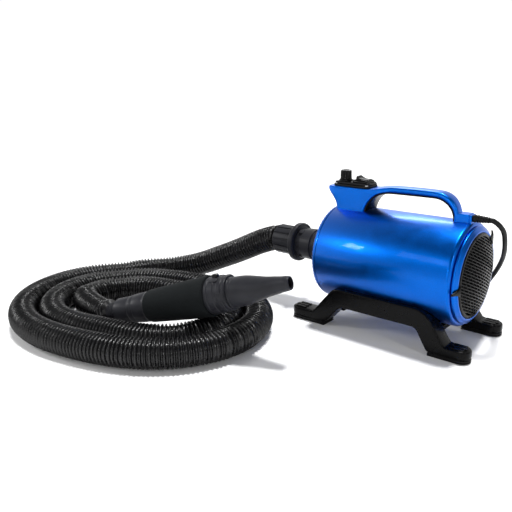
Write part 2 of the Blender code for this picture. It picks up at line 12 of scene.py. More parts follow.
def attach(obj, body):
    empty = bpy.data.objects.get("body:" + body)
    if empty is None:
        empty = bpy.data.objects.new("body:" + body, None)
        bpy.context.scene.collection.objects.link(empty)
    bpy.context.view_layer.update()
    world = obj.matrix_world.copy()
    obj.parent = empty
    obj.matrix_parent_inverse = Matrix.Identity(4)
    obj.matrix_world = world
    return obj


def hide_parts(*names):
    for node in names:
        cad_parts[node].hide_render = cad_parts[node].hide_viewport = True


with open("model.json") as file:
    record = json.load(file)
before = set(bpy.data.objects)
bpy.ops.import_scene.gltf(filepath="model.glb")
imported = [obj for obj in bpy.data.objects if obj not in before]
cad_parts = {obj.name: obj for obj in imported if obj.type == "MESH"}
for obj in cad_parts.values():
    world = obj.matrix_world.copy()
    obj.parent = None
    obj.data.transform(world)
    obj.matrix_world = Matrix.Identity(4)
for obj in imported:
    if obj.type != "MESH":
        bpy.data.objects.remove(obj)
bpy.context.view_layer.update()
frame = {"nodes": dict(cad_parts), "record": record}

# ---- the part's own layout, as in its source ----
DRYER = Vector((0.1171, 0.1287, 0.0))
AXIS_Z = 0.118
DRUM_R = 0.085
REAR_X = -0.1310
FRONT_X = 0.1215
RIM_FRONT_X = 0.1305
GRILLE_R = 0.0690
DOME_RISE = 0.0088
TRACK = 0.0663
RAIL_W = 0.0316
RAIL_TAIL_X = -0.176
RAIL_NOSE_X = 0.157
PANEL_Z = 0.2390
PLATE_T = 0.0080
BOSS_X = 0.1180
CORD_Z = 0.2095
KNOB_X = -0.1145
ROCKER_X = -0.0790
ROCKER_TILT = radians(13)
PORT_BORE = 0.0215
FLANGE_X = -0.2090
SLEEVE_END_X = -0.2640
HOSE_D = 0.0500
LEAD_D = 0.0078
WAND_START = Vector((-0.3857, -0.3262, 0.0312))
WAND_TIP = Vector((-0.0614, -0.2307, 0.1293))
COIL_MID = Vector((-0.3657, -0.2643))
COIL_R = 0.2299
COIL_OVAL = 0.13
COIL_LONG_AXIS = radians(10)
COIL_PITCH = 0.0540
COIL_DEGREES = range(150, 926, 12)
LEAD_COIL_MID = Vector((-0.0800, 0.1750))
LEAD_COIL_R = 0.0450
LEAD_TURNS = 9
LEAD_LANES = 3
GAP = 0.0003
THINNEST = 0.0012


# ---- camera ----
CAMERA_SPOT = DRYER + Vector((0.45705, -0.90787, 0.42496))
CAMERA_ANGLES = (40.8796, 16.5372, -1.068)
LENS_MM = 42.37
SENSOR_MM = 36.0


def build_camera():
    """Stand at CAMERA_SPOT, turned by its azimuth, its elevation and its roll, in degrees."""
    azimuth, elevation, roll = (radians(angle) for angle in CAMERA_ANGLES)
    ahead = Vector((-sin(azimuth) * cos(elevation), cos(azimuth) * cos(elevation),
                    -sin(elevation)))
    level = ahead.cross(Vector((0, 0, 1))).normalized()
    upright = level.cross(ahead)
    right = level * cos(roll) + upright * sin(roll)
    up = upright * cos(roll) - level * sin(roll)
    data = bpy.data.cameras.new("camera")
    data.lens, data.sensor_width = LENS_MM, SENSOR_MM
    data.clip_start, data.clip_end = 0.05, 20.0
    camera = bpy.data.objects.new("camera", data)
    bpy.context.scene.collection.objects.link(camera)
    turn = Matrix((right, up, -ahead)).transposed().to_4x4()
    camera.matrix_world = Matrix.Translation(CAMERA_SPOT) @ turn
    bpy.context.scene.camera = camera


# ---- materials ----
class Nodes:
    """A Principled material built node by node over the object's own coordinates."""

    def __init__(self, name):
        self.mat = bpy.data.materials.new(name)
        self.mat.use_nodes = True
        self.tree = self.mat.node_tree
        self.shader = self.tree.nodes["Principled BSDF"]
        self.coords = self.tree.nodes.new("ShaderNodeTexCoord").outputs["Object"]

    def add(self, kind, links=(), **settings):
        """Add a node; a setting is an input's value where it has that name, else an option."""
        node = self.tree.nodes.new(kind)
        for key, value in settings.items():
            if key in node.inputs:
                node.inputs[key].default_value = value
            else:
                setattr(node, key, value)
        for socket, source in links:
            self.tree.links.new(source, node.inputs[socket])
        return node

    def stretched(self, scale):
        return self.add("ShaderNodeMapping", [("Vector", self.coords)], Scale=scale).outputs[0]

    def noise(self, scale, detail=3.0, vector=None):
        return self.add("ShaderNodeTexNoise", [("Vector", vector or self.coords)], Scale=scale,
                        Detail=detail).outputs["Fac"]

    def cells(self, scale):
        """How far each spot is from the middle of its cell."""
        return self.add("ShaderNodeTexVoronoi", [("Vector", self.coords)],
                        Scale=scale).outputs["Distance"]

    def patches(self, scale):
        """One grey for each cell."""
        colour = self.add("ShaderNodeTexVoronoi", [("Vector", self.coords)],
                          Scale=scale).outputs["Color"]
        return self.add("ShaderNodeRGBToBW", [("Color", colour)]).outputs[0]

    def spread(self, source, low, high, start=0.3, end=0.7):
        """The source's start..end laid onto low..high, and held at both ends."""
        return self.add("ShaderNodeMapRange", [("Value", source)],
                        **{"From Min": start, "From Max": end, "To Min": low,
                           "To Max": high}).outputs[0]

    def between(self, fac, dark, light):
        """The colour that runs from dark to light as the factor runs from 0 to 1."""
        mix = self.add("ShaderNodeMix", data_type="RGBA")
        self.tree.links.new(fac, mix.inputs[0])
        mix.inputs[6].default_value = (*dark, 1.0)
        mix.inputs[7].default_value = (*light, 1.0)
        return mix.outputs[2]

    def into(self, socket, source):
        self.tree.links.new(source, self.shader.inputs[socket])

    def bump(self, *layers):
        """Stacked bumps, each (height source, strength, depth in metres)."""
        normal = None
        for height, strength, depth in layers:
            links = [("Height", height)] + ([("Normal", normal)] if normal else [])
            normal = self.add("ShaderNodeBump", links, Strength=strength,
                              Distance=depth).outputs[0]
        self.into("Normal", normal)

    def set(self, **values):
        for key, value in values.items():
            self.shader.inputs[key.replace("_", " ")].default_value = value
        return self.mat


def shade(colour, factor):
    return tuple(min(1.0, c * factor) for c in colour)


def moulded(name, colour, rough, grain=0.25, coat=0.0, gloss=0.16):
    """Moulded plastic or rubber: a fine grain, cloudy gloss and slight uneven colour."""
    n = Nodes(name)
    cloud = n.noise(38.0, 4.0)
    fine = n.noise(2600.0, 2.0)
    grain_depth = 0.00006
    n.into("Base Color", n.between(n.spread(cloud, 0, 1), shade(colour, 0.86),
                                   shade(colour, 1.16)))
    n.into("Roughness", n.spread(n.noise(90.0, 5.0), rough * 0.86, rough * 1.14))
    n.bump((fine, grain, grain_depth), (n.noise(220.0, 3.0), 0.08, grain_depth))
    return n.set(Coat_Weight=coat, Coat_Roughness=0.12, Specular_IOR_Level=gloss)


def metal(name, colour, rough):
    """Metal with fine drawn lines round it."""
    n = Nodes(name)
    lines = n.noise(90.0, 4.0, n.stretched((1.0, 1.0, 30.0)))
    n.into("Base Color", n.between(n.spread(n.noise(45.0), 0, 1), shade(colour, 0.88),
                                   shade(colour, 1.06)))
    n.into("Roughness", n.spread(lines, rough * 0.75, rough * 1.3))
    n.bump((lines, 0.18, 0.00005))
    return n.set(Metallic=1.0)


def blue_paint():
    """Metallic lacquer: fine flakes under a thin clear coat."""
    n = Nodes("blue_lacquer")
    base = (0.0003, 0.108, 0.530)
    flakes = n.patches(1500.0)
    n.into("Base Color", n.between(n.spread(flakes, 0, 1, 0.1, 0.9), shade(base, 0.88),
                                   shade(base, 1.14)))
    n.into("Roughness", n.spread(n.noise(60.0, 4.0), 0.33, 0.40))
    n.bump((flakes, 0.05, 0.00003))
    return n.set(Metallic=1.0, Coat_Weight=0.12, Coat_Roughness=0.05)


def foam():
    """Open-cell foam: dark pores in a slightly lighter skin."""
    n = Nodes("open_foam")
    pores = n.cells(900.0)
    n.into("Base Color", n.between(n.spread(pores, 0, 1, 0.0, 0.6), (0.010, 0.0125, 0.0140),
                                   (0.004, 0.0052, 0.0058)))
    n.bump((pores, 0.55, 0.00035), (n.noise(260.0, 4.0), 0.30, 0.00030))
    return n.set(Roughness=0.92, Specular_IOR_Level=0.15)


def hose_plastic():
    """The hose's glossy black plastic, a little dusty."""
    n = Nodes("hose_plastic")
    dust = n.noise(24.0, 5.0)
    n.into("Base Color", n.between(n.spread(dust, 0, 1), (0.0022, 0.0022, 0.0026),
                                   (0.0056, 0.0055, 0.0064)))
    n.into("Roughness", n.spread(n.noise(130.0, 4.0), 0.22, 0.34))
    n.bump((n.noise(900.0, 2.0), 0.05, 0.00004))
    return n.set(Specular_IOR_Level=0.42)


def circuit_board():
    """Green lacquer over copper areas that show as paler patches."""
    n = Nodes("circuit_board")
    patches = n.patches(240.0)
    n.into("Base Color", n.between(n.spread(patches, 0, 1, 0.45, 0.55), (0.012, 0.110, 0.045),
                                   (0.030, 0.200, 0.080)))
    n.bump((patches, 0.4, 0.0002))
    return n.set(Roughness=0.4)


def windings(name, colour):
    """Enamelled wire, laid in bands, with painted shade in the grooves between them."""
    n = Nodes(name)
    wires = n.add("ShaderNodeTexWave", [("Vector", n.coords)], Scale=320.0, Distortion=1.2,
                  bands_direction="X").outputs["Fac"]
    # Painted shade: the colour darkens to 0.55 of the copper in the grooves between the wires.
    n.into("Base Color", n.between(wires, shade(colour, 0.55), colour))
    n.bump((wires, 0.6, 0.0004))
    return n.set(Roughness=0.35, Metallic=1.0)


def pale_floor():
    """Matt white paper."""
    n = Nodes("floor")
    n.into("Base Color", n.between(n.spread(n.noise(3.0, 2.0), 0, 1), (0.90, 0.90, 0.905),
                                   (0.92, 0.92, 0.92)))
    return n.set(Roughness=0.85, Specular_IOR_Level=0.1)


def build_materials():
    """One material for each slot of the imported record."""
    return {
        "painted_shell": blue_paint(),
        "black_plastic": moulded("black_plastic", (0.0020, 0.0020, 0.0022), 0.26, 0.08,
                                 gloss=0.10),
        "gloss_black": moulded("gloss_black", (0.0022, 0.0022, 0.0026), 0.18, 0.05,
                               coat=0.05, gloss=0.12),
        "grey_plastic": moulded("grey_plastic", (0.0170, 0.0175, 0.0215), 0.40, 0.18),
        "hose_plastic": hose_plastic(),
        "rubber": moulded("rubber", (0.0050, 0.0050, 0.0053), 0.42, 0.20),
        "foam": foam(),
        "steel": metal("steel", (0.52, 0.53, 0.55), 0.32),
        "aluminium": metal("aluminium", (0.72, 0.73, 0.75), 0.36),
        "copper": windings("copper", (0.72, 0.33, 0.16)),
        "carbon": moulded("carbon", (0.055, 0.055, 0.060), 0.70, 0.5),
        "board": circuit_board(),
        "brass": metal("brass", (0.70, 0.50, 0.21), 0.30),
    }


MATERIALS = build_materials()


# ---- pieces ----
def piece(name, bm, slot, body="blower", stands_for=(), place=None, smooth=35):
    """Turn a bmesh, laid out from DRYER or with its own placing matrix, into a piece."""
    bmesh.ops.recalc_face_normals(bm, faces=bm.faces)
    mesh = bpy.data.meshes.new(name)
    bm.to_mesh(mesh)
    bm.free()
    mesh.shade_smooth()
    mesh.set_sharp_from_angle(angle=radians(smooth))
    obj = bpy.data.objects.new(name, mesh)
    bpy.context.scene.collection.objects.link(obj)
    obj.matrix_world = place if place is not None else Matrix.Translation(DRYER)
    obj.data.materials.append(MATERIALS[slot])
    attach(obj, body)
    if stands_for:
        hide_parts(*stands_for)
    return obj


def softened(obj, width, segments=3, angle=30):
    """Round the edges that turn by more than the angle, in degrees."""
    mod = obj.modifiers.new("edges", "BEVEL")
    mod.width, mod.segments = width, segments
    mod.limit_method, mod.angle_limit = "ANGLE", radians(angle)
    return obj


def arc(mid, radius, start, end, steps):
    """Points round a middle from one angle to another, in degrees."""
    turn = (end - start) / steps
    return [(mid[0] + radius * cos(radians(start + i * turn)),
             mid[1] + radius * sin(radians(start + i * turn))) for i in range(steps + 1)]


AXES = {"X": Vector((1, 0, 0)), "Y": Vector((0, 1, 0)), "Z": Vector((0, 0, 1))}
SIDEWAYS = {"X": Vector((0, 0, 1)), "Y": Vector((1, 0, 0)), "Z": Vector((1, 0, 0))}


def turn_into(bm, profile, centre=(0, 0, 0), axis="X", sides=96):
    """Turn (along, radius) points about an axis: solid if it starts and ends on the axis,
    otherwise a closed ring."""
    along, side, centre = AXES[axis], SIDEWAYS[axis], Vector(centre)
    verts = [bm.verts.new(centre + along * a + side * r) for a, r in profile]
    edges = [bm.edges.new(pair) for pair in zip(verts, verts[1:])]
    if profile[0][1] > 0:
        edges.append(bm.edges.new((verts[-1], verts[0])))
    bmesh.ops.spin(bm, geom=verts + edges, cent=centre, axis=along, angle=2 * pi, steps=sides,
                   use_merge=True)
    bmesh.ops.remove_doubles(bm, verts=bm.verts, dist=1e-6)


def solid(*stations):
    """A profile for turn_into, closed onto the axis at both ends."""
    return [(stations[0][0], 0.0), *stations, (stations[-1][0], 0.0)]


def skin(bm, rings, looped=False):
    """Join rings of vertices with faces: capped at both ends, or looped back to the first."""
    count = len(rings[0])
    for a, b in zip(rings, rings[1:] + rings[:1] if looped else rings[1:]):
        for i in range(count):
            j = (i + 1) % count
            bm.faces.new((a[i], a[j], b[j], b[i]))
    if not looped:
        bm.faces.new(rings[0])
        bm.faces.new(rings[-1])


def bent_block(bm, start, end, low, high, first, last, centre=(0, 0, 0), axis="X", steps=4):
    """A block wrapped round an axis: start..end along it, low..high radii, first..last degrees."""
    along, side = AXES[axis], SIDEWAYS[axis]
    across = along.cross(side)
    centre = Vector(centre)

    def spot(a, r, angle):
        turn = radians(angle)
        return bm.verts.new(centre + along * a + (side * cos(turn) + across * sin(turn)) * r)

    rings = []
    for i in range(steps + 1):
        angle = first + (last - first) * i / steps
        rings.append([spot(start, low, angle), spot(start, high, angle), spot(end, high, angle),
                      spot(end, low, angle)])
    skin(bm, rings)


def plate_into(bm, outline, start, end, axis="Z"):
    """A flat outline, thick from start to end along Y or Z."""
    lay = {"Y": lambda p: (p[0], start, p[1]), "Z": lambda p: (p[0], p[1], start)}[axis]
    face = bm.faces.new([bm.verts.new(lay(p)) for p in outline])
    grown = bmesh.ops.extrude_face_region(bm, geom=[face])
    moved = [v for v in grown["geom"] if isinstance(v, bmesh.types.BMVert)]
    bmesh.ops.translate(bm, verts=moved, vec=AXES[axis] * (end - start))


def block_into(bm, low, high, turn=None):
    """A block between two corners, turned about its own middle."""
    made = bmesh.ops.create_cube(bm, size=1.0)["verts"]
    low, high = Vector(low), Vector(high)
    bmesh.ops.scale(bm, verts=made, vec=high - low)
    if turn:
        bmesh.ops.rotate(bm, verts=made, cent=(0, 0, 0), matrix=turn)
    bmesh.ops.translate(bm, verts=made, vec=(low + high) / 2)


def eased(points, steps):
    """Points of any size, made denser along a smooth curve through all of them."""
    sized = [Vector(p) for p in points]
    ends = [sized[0] * 2 - sized[1], *sized, sized[-1] * 2 - sized[-2]]
    dense = []
    for before, a, b, after in zip(ends, ends[1:], ends[2:], ends[3:]):
        for i in range(steps):
            t = i / steps
            dense.append(0.5 * (
                2 * a + (b - before) * t + (2 * before - 5 * a + 4 * b - after) * t * t
                + (3 * a - before - 3 * b + after) * t * t * t))
    return dense + [sized[-1]]


def loft(bm, sections, half_width, corner, flat=6, round_steps=4):
    """Skin rounded sections that each run from a low to a high (x, z) point, wide along Y."""
    rings = []
    for low, high in sections:
        low, high = Vector(low), Vector(high)
        length = (high - low).length
        way = (high - low) / length
        r = min(corner, length * 0.49)
        side = [(r * (1 - cos(pi / 2 * i / round_steps)), r * (1 - sin(pi / 2 * i / round_steps)))
                for i in range(round_steps)]
        side += [(r + (length - 2 * r) * i / flat, 0.0) for i in range(flat)]
        side += [(length - r * (1 - sin(pi / 2 * i / round_steps)),
                  r * (1 - cos(pi / 2 * i / round_steps))) for i in range(round_steps + 1)]
        half = []
        for reach, inset in side:
            spot = low + way * reach
            half.append((spot.x, max(half_width(spot.x) - inset, THINNEST / 2), spot.y))
        ring = half + [(x, -y, z) for x, y, z in reversed(half)]
        rings.append([bm.verts.new(p) for p in ring])
    skin(bm, rings)


def table_of(pairs):
    """A function that eases from each (x, value) pair to the next."""
    def read(x):
        for (x0, v0), (x1, v1) in zip(pairs, pairs[1:]):
            if x <= x1:
                t = max(0.0, (x - x0) / (x1 - x0))
                t = t * t * (3 - 2 * t)
                return v0 + (v1 - v0) * t
        return pairs[-1][1]
    return read


# ---- drum ----
def build_drum():
    """The painted drum, its rear cap with a ring of dimples, and the front bezel."""
    centre = (0, 0, AXIS_Z)
    joint_x = REAR_X + 0.0100
    bm = bmesh.new()
    shoulder = arc((FRONT_X - 0.0070, DRUM_R - 0.0070), 0.0070, 90, 0, 10)
    lip = DRUM_R - 0.0086
    turn_into(bm, [(joint_x + 0.0002, DRUM_R - 0.0016), (joint_x + 0.0002, DRUM_R - 0.0004),
                   (joint_x + 0.0008, DRUM_R), *shoulder, (FRONT_X - 0.0003, lip),
                   (FRONT_X - 0.0022, lip - 0.0006), (FRONT_X - 0.0022, lip - 0.0020),
                   (FRONT_X - 0.0060, DRUM_R - 0.0120), (FRONT_X - 0.0080, DRUM_R - 0.0016)],
              centre, sides=160)
    piece("drum_skin", bm, "painted_shell", stands_for=["body_shell"], smooth=40)

    bm = bmesh.new()
    crown = arc((joint_x - GAP, DRUM_R - 0.0100), 0.0100, 90, 180, 12)
    turn_into(bm, [*crown, (REAR_X - GAP, 0.0345), (REAR_X + 0.0008, 0.0335),
                   (REAR_X + 0.0008, PORT_BORE + 0.0020), (REAR_X + 0.0020, PORT_BORE + 0.0020),
                   (REAR_X + 0.0020, DRUM_R - 0.0110), (joint_x - GAP, DRUM_R - 0.0016)],
              centre, sides=160)
    piece("rear_cap", bm, "painted_shell", stands_for=["rear_cover"], smooth=40)

    bm = bmesh.new()
    dimples, reach = 72, DRUM_R - 0.0029
    for i in range(dimples):
        turn = 2 * pi * i / dimples
        made = bmesh.ops.create_icosphere(bm, subdivisions=2, radius=0.00085)["verts"]
        bmesh.ops.translate(bm, verts=made, vec=(REAR_X + 0.0028, reach * cos(turn),
                                                 AXIS_Z + reach * sin(turn)))
    piece("rear_dimples", bm, "painted_shell")

    bm = bmesh.new()
    back_x = FRONT_X + GAP
    rim = [(back_x - 0.0018, GRILLE_R + GAP), (back_x - 0.0018, 0.0750), (back_x, 0.0752),
           *arc((back_x + 0.0026, 0.0762), 0.0028, 170, 20, 8),
           *arc((RIM_FRONT_X - 0.0016, 0.0716), 0.0016, 60, 0, 4),
           (RIM_FRONT_X, 0.0700), (RIM_FRONT_X - 0.0006, GRILLE_R + GAP)]
    turn_into(bm, rim, centre, sides=160)
    piece("front_bezel", bm, "painted_shell", stands_for=["front_rim"], smooth=40)


# ---- intake grille ----
def dome_x(radius):
    """Where the grille's face is along the drum at a given radius."""
    return RIM_FRONT_X + 0.0002 + DOME_RISE * (1 - (radius / GRILLE_R) ** 2)


def build_grille():
    """The domed face: slanted bars with staggered webs between them, and two snap lugs."""
    centre = (0, 0, AXIS_Z)
    bm = bmesh.new()
    edge = 0.0640
    turn_into(bm, [(RIM_FRONT_X - 0.0080, 0.0660), (RIM_FRONT_X - 0.0080, GRILLE_R),
                   (RIM_FRONT_X + 0.0002, GRILLE_R), (RIM_FRONT_X + 0.0010, GRILLE_R - 0.0008),
                   (dome_x(edge), edge), (dome_x(edge) - 0.0020, edge - 0.0004),
                   (RIM_FRONT_X - 0.0010, 0.0660)], centre, sides=144)
    lean = radians(-24)
    across_step, bar, along_step, web = 0.0046, 0.0019, 0.0132, 0.0022

    def spot(u, v, depth):
        y, z = u * cos(lean) - v * sin(lean), u * sin(lean) + v * cos(lean)
        return bm.verts.new((dome_x(sqrt(u * u + v * v)) - depth, y, AXIS_Z + z))

    def strip(points, way, half, deep):
        """A bar along (u, v) points that all lie one way, with its front edges chamfered."""
        nu, nv = -way[1] * half, way[0] * half
        crown, chamfer = 0.6, 0.0005
        rings = []
        for u, v in points:
            rings.append([spot(u + nu * crown, v + nv * crown, 0.0),
                          spot(u + nu, v + nv, chamfer), spot(u + nu, v + nv, deep),
                          spot(u - nu, v - nv, deep), spot(u - nu, v - nv, chamfer),
                          spot(u - nu * crown, v - nv * crown, 0.0)])
        skin(bm, rings)

    rows = int(edge / across_step)
    for row in range(-rows, rows + 1):
        v = row * across_step
        reach = sqrt(max((edge + 0.0008) ** 2 - v * v, 0.0))
        steps = max(4, int(reach / 0.004))
        strip([(-reach + 2 * reach * i / steps, v) for i in range(steps + 1)], (1, 0), bar / 2,
              0.0026)
        high = v + across_step
        shift = along_step / 2 if row % 2 else 0.0
        for k in range(-6, 7):
            u = k * along_step + shift
            if u * u + max(v * v, high * high) < edge ** 2:
                strip([(u, v), (u, high)], (0, 1), web / 2, 0.0022)
    piece("grille_face", bm, "black_plastic", "intake", ["intake_grille"], smooth=50)

    bm = bmesh.new()
    root = 0.0668
    outline = [(-0.0105, root), (0.0105, root), (0.0060, 0.0718), (0.0030, 0.0790),
               (0.0016, 0.0862), (-0.0016, 0.0862), (-0.0030, 0.0790), (-0.0060, 0.0718)]

    def lug_x(reach, depth):
        """Lugs lean back over the bezel, more so towards their tips."""
        return RIM_FRONT_X - 0.0004 + depth - 0.0050 * ((reach - root) / 0.02) ** 2

    for angle in (186, 45):
        turn = Matrix.Rotation(radians(angle - 90), 4, "X")
        skin(bm, [[bm.verts.new(turn @ Vector((lug_x(z, depth), y * grow, z)) + Vector(centre))
                   for y, z in outline]
                  for depth, grow in ((0.0, 1.0), (0.0022, 1.0), (0.0032, 0.72))])
    softened(piece("grille_lugs", bm, "black_plastic", "intake"), 0.0004, 2)


# ---- handle ----
HANDLE_SECTIONS = [  # low point, high point: (x, z) on the finger side and on the outside
    ((-0.0652, 0.1900), (-0.1200, 0.1900)), ((-0.0640, 0.2020), (-0.1200, 0.2035)),
    ((-0.0618, 0.2090), (-0.1226, 0.2130)), ((-0.0585, 0.2155), (-0.1300, 0.2238)),
    ((-0.0552, 0.2202), (-0.1372, 0.2310)), ((-0.0525, 0.2232), (-0.1390, 0.2348)),
    ((-0.0498, 0.2258), (-0.1382, 0.2384)), ((-0.0470, 0.2282), (-0.1340, 0.2391)),
    ((-0.0435, 0.2305), (-0.1100, 0.2391)), ((-0.0395, 0.2325), (-0.0800, 0.2391)),
    ((-0.0345, 0.2343), (-0.0580, 0.2393)), ((-0.0272, 0.2357), (-0.0410, 0.2422)),
    ((-0.0150, 0.2364), (-0.0190, 0.2453)), ((0.0200, 0.2370), (0.0200, 0.2464)),
    ((0.0480, 0.2372), (0.0510, 0.2464)), ((0.0640, 0.2366), (0.0690, 0.2450)),
    ((0.0775, 0.2308), (0.0835, 0.2382)), ((0.0862, 0.2214), (0.0925, 0.2276)),
    ((0.0900, 0.2120), (0.0968, 0.2150)), ((0.0910, 0.2040), (0.0985, 0.2060)),
    ((0.0912, 0.1900), (0.0990, 0.1900))]
HANDLE_HALF = table_of([(-0.1400, 0.0196), (-0.1290, 0.0230), (-0.0740, 0.0228),
                        (-0.0480, 0.0196), (-0.0170, 0.0138), (0.0760, 0.0132), (0.0980, 0.0104)])


def build_handle():
    """The pedestal and grip in one moulding, the liner of the finger gap and the lead's boss."""
    dense = eased([(*low, *high) for low, high in HANDLE_SECTIONS], 5)
    sections = [(p[:2], p[2:]) for p in dense]
    bm = bmesh.new()
    loft(bm, sections, HANDLE_HALF, 0.0042)
    piece("handle_body", bm, "painted_shell", stands_for=["handle_shell"], smooth=60)

    bm = bmesh.new()
    lows = [Vector(low) for low, high in sections]
    inner = []
    for i, low in enumerate(lows):
        way = (lows[min(i + 1, len(lows) - 1)] - lows[max(i - 1, 0)]).normalized()
        inward = Vector((way.y, -way.x))
        inner.append((low + inward * 0.0022, low + inward * -0.0008))
    loft(bm, inner, lambda x: HANDLE_HALF(x) - 0.0016, 0.0012, flat=2, round_steps=3)
    piece("finger_liner", bm, "black_plastic", stands_for=["handle_liner"], smooth=60)

    bm = bmesh.new()
    block_into(bm, (0.0905, -0.0103, 0.1965), (BOSS_X - 0.0035, 0.0103, 0.2160))
    block_into(bm, (BOSS_X - 0.0040, -0.0094, 0.1975), (BOSS_X, 0.0094, 0.2152))
    softened(piece("cord_boss", bm, "painted_shell"), 0.0016, 4)


# ---- controls ----
def build_controls():
    """The plate on the pedestal with its screws, the fluted knob and the rocker switch."""
    top = PANEL_Z + GAP
    bm = bmesh.new()

    def slab(inset, low, high):
        outline = [(-0.1295 + inset, -0.0150), (-0.1270 + inset, -0.0175 + inset),
                   (-0.0640, -0.0188 + inset), (-0.0585 - inset, -0.0130),
                   (-0.0585 - inset, 0.0130), (-0.0640, 0.0188 - inset),
                   (-0.1270 + inset, 0.0175 - inset), (-0.1295 + inset, 0.0150)]
        plate_into(bm, outline, low, high)

    slab(0.0, top, top + 0.0038)
    slab(0.0024, top + 0.0036, top + PLATE_T)
    softened(piece("control_plate", bm, "gloss_black", stands_for=["control_panel"]), 0.0009, 3)

    foot = top + PLATE_T + GAP
    spots = ((-0.1248, -0.0133), (-0.0636, -0.0154), (-0.1248, 0.0133), (-0.0636, 0.0154))
    for number, (x, y) in enumerate(spots, start=1):
        bm = bmesh.new()
        head = top + 0.0038
        turn_into(bm, solid((head, 0.0027), (head + 0.0008, 0.0027), (head + 0.0017, 0.0020),
                            (head + 0.0020, 0.0008)), (x, y, 0), "Z", 24)
        for turn in (0.4, 0.4 + pi / 2):
            block_into(bm, (x - 0.0016, y - 0.00025, head + 0.0016),
                       (x + 0.0016, y + 0.00025, head + 0.00215), Matrix.Rotation(turn, 3, "Z"))
        piece("plate_screw_%d" % number, bm, "steel", stands_for=["panel_screw_%d" % number])

    bm = bmesh.new()
    flutes, flute_depth, height = 40, 0.00045, 0.0180
    rows = [  # height, radius, fluted
            (0.0, 0.0120, 0), (0.0012, 0.0120, 0), (0.0026, 0.0103, 0), (0.0034, 0.0100, 1),
            (height - 0.0022, 0.0097, 1), (height - 0.0010, 0.0092, 0), (height - 0.0002, 0.0078, 0),
            (height - 0.0002, 0.0064, 0), (height - 0.0008, 0.0060, 0)]
    rings = []
    for z, r, ribbed in rows:
        ring = []
        for i in range(flutes * 4):
            dip = flute_depth if ribbed and i % 4 in (0, 1) else 0.0
            turn = 2 * pi * i / (flutes * 4)
            ring.append(bm.verts.new((KNOB_X + (r - dip) * cos(turn), (r - dip) * sin(turn),
                                      foot + z)))
        rings.append(ring)
    skin(bm, rings)
    piece("knob_grip", bm, "gloss_black", "knob", ["speed_knob"], smooth=30)
    bm = bmesh.new()
    block_into(bm, (KNOB_X - 0.0092, -0.0005, foot + height - 0.0012),
               (KNOB_X - 0.0050, 0.0005, foot + height - 0.0001))
    piece("knob_pointer", bm, "steel", "knob")

    bm = bmesh.new()
    frame_top = foot + 0.0040
    outer = [(-0.0150, -0.0120), (0.0150, -0.0120), (0.0150, 0.0120), (-0.0150, 0.0120)]
    rings = []
    for z, grow_x, grow_y in ((foot - 0.0004, 0, 0), (foot + 0.0020, 0, 0),
                              (frame_top, -0.0018, -0.0018), (frame_top, -0.0031, -0.0032),
                              (foot - 0.0002, -0.0031, -0.0032)):
        rings.append([bm.verts.new((ROCKER_X + x + (grow_x if x > 0 else -grow_x),
                                    y + (grow_y if y > 0 else -grow_y), z)) for x, y in outer])
    skin(bm, rings, looped=True)
    softened(piece("switch_frame", bm, "gloss_black", stands_for=["switch_housing"]), 0.0005, 2)

    bm = bmesh.new()
    half, crest = 0.0110, 0.0062
    profile = [(-half, -0.0010), (-0.0050, -0.0060), (0.0050, -0.0060), (half, -0.0010)]
    profile += [(half * (1 - i / 6), crest - 0.0026 * (1 - (1 - i / 6) ** 2)) for i in range(13)]
    plate_into(bm, profile, -0.0082, 0.0082, "Y")
    tilt = Matrix.Translation(DRYER + Vector((ROCKER_X, 0, frame_top - 0.0020)))
    tilt = tilt @ Matrix.Rotation(ROCKER_TILT, 4, "Y")
    softened(piece("rocker_cap", bm, "gloss_black", "rocker", ["switch_rocker"], tilt), 0.0007, 2)


